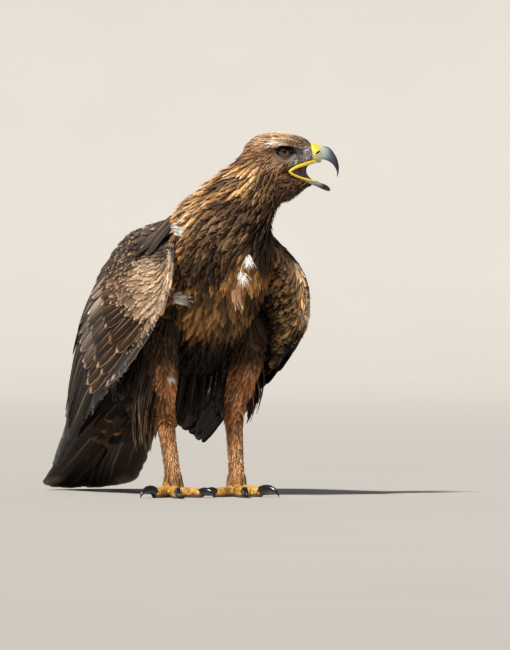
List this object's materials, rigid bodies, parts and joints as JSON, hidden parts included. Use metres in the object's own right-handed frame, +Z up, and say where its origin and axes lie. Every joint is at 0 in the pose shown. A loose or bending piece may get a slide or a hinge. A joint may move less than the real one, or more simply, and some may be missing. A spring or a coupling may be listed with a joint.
{
  "type": "golden eagle figure",
  "caption": "Life-size standing golden eagle, head turned aside with the hooked bill open, wings half folded and held off the flanks, tail resting on the ground.",
  "frame": {"origin": "middle of the figure's box on the floor that it stands on", "axes": "+Z up, the body faces -Y, its left side is +X; the head is turned towards +X"},
  "size_m": [0.264, 0.5716, 0.4732],
  "materials": {
    "body_feathers": "soft dark brown body feathers with rufous edges",
    "hackles": "pointed golden-brown head and neck feathers",
    "flight_feathers": "dark brown wing and tail feathers with pale edges",
    "leg_feathers": "short tawny feathers down to the toes",
    "yellow_skin": "yellow scaly skin of the feet, cere and gape",
    "bill": "blue-grey horn darkening to the tip",
    "claw": "black polished horn",
    "mouth": "dark red moist lining",
    "eye": "clear glass over an amber-brown iris"
  },
  "bodies": {
    "root": {"bill_lower": "bill", "bill_upper": "bill", "cere": "yellow_skin", "claw_left_1": "claw", "claw_left_2": "claw", "claw_left_3": "claw", "claw_left_4": "claw", "claw_right_1": "claw", "claw_right_2": "claw", "claw_right_3": "claw", "claw_right_4": "claw", "eye_left": "eye", "eye_right": "eye", "foot_left": "yellow_skin", "foot_right": "yellow_skin", "head": "hackles", "mouth_lining": "mouth", "neck": "hackles", "tail": "flight_feathers", "tarsus_left": "leg_feathers", "tarsus_right": "leg_feathers", "thigh_left": "leg_feathers", "thigh_right": "leg_feathers", "tongue": "mouth", "torso": "body_feathers", "wing_left": "flight_feathers", "wing_right": "flight_feathers"}
  },
  "joints": []
}
